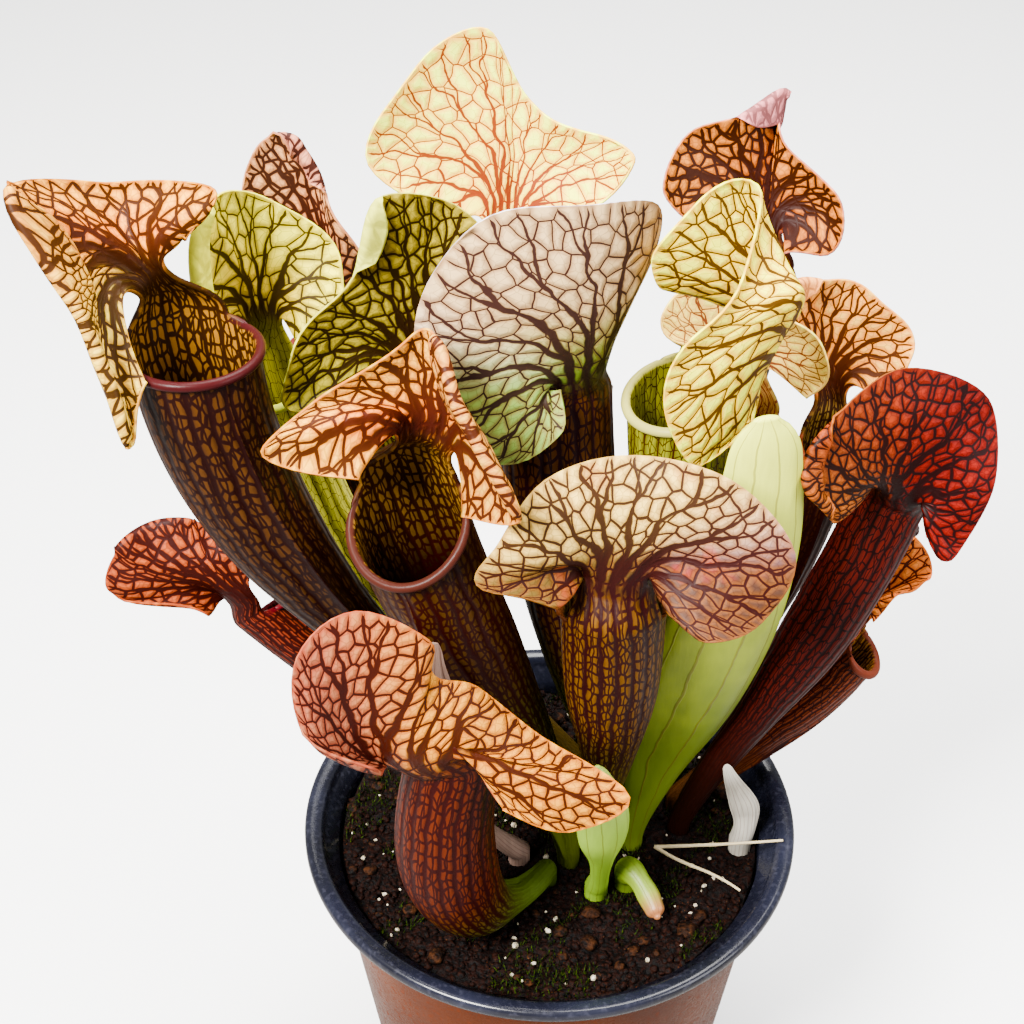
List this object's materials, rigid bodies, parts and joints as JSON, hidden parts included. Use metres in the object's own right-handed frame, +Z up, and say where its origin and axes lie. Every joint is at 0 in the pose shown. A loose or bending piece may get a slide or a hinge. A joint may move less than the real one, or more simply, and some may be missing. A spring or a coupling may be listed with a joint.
{
  "type": "potted pitcher plant",
  "caption": "carnivorous trumpet pitcher plant with frilled, veined hoods in orange, yellow, green and maroon, growing from dark compost in a round terracotta-coloured plastic nursery pot",
  "frame": {"origin": "centre of the pot's flat foot, on the surface it stands on", "axes": "+Z up along the pot's axis; -Y towards the side from which the plant is best seen; +X to the right as seen from there"},
  "size_m": [0.2102, 0.1334, 0.2921],
  "materials": {
    "pot_plastic": "thin vacuum-formed plastic, terracotta outside and blue-black inside, glossy rim with fine scuffs and dust",
    "compost": "dark peat with white perlite, moss and bark chips, rough and damp",
    "hood_orange": "waxy leaf, orange with a net of maroon veins, tube dark maroon and green",
    "hood_yellow": "waxy leaf, bright yellow to cream with a net of red-purple veins",
    "hood_green": "waxy leaf, yellow-green to olive with a net of dark maroon veins",
    "hood_red": "waxy leaf, dark red with tan patches between maroon veins",
    "hood_cream": "waxy leaf, cream to pink and lavender with purple-maroon veins",
    "young_leaf": "smooth pale green leaf with faint lengthwise veins",
    "dry_leaf": "papery dead leaf and straw, pale grey-brown and matt"
  },
  "bodies": {
    "root": {"pot": "pot_plastic", "compost": "compost", "pitcher_left_open": "hood_orange", "pitcher_left_green": "hood_green", "pitcher_back_left": "hood_red", "pitcher_centre_left": "hood_green", "pitcher_centre_orange": "hood_orange", "pitcher_back_tall": "hood_cream", "pitcher_centre_big": "hood_green", "pitcher_right_yellow": "hood_yellow", "pitcher_right_pale": "hood_cream", "pitcher_back_right": "hood_orange", "pitcher_right_orange": "hood_orange", "pitcher_right_red": "hood_red", "pitcher_right_low": "hood_orange", "pitcher_front_centre": "hood_cream", "pitcher_front_low": "hood_orange", "pitcher_far_left": "hood_orange", "young_leaf_green": "young_leaf", "young_leaf_small": "young_leaf", "spent_stalk": "young_leaf", "dry_leaf_front": "dry_leaf", "dry_leaf_right": "dry_leaf", "dry_stems": "dry_leaf"}
  },
  "joints": []
}
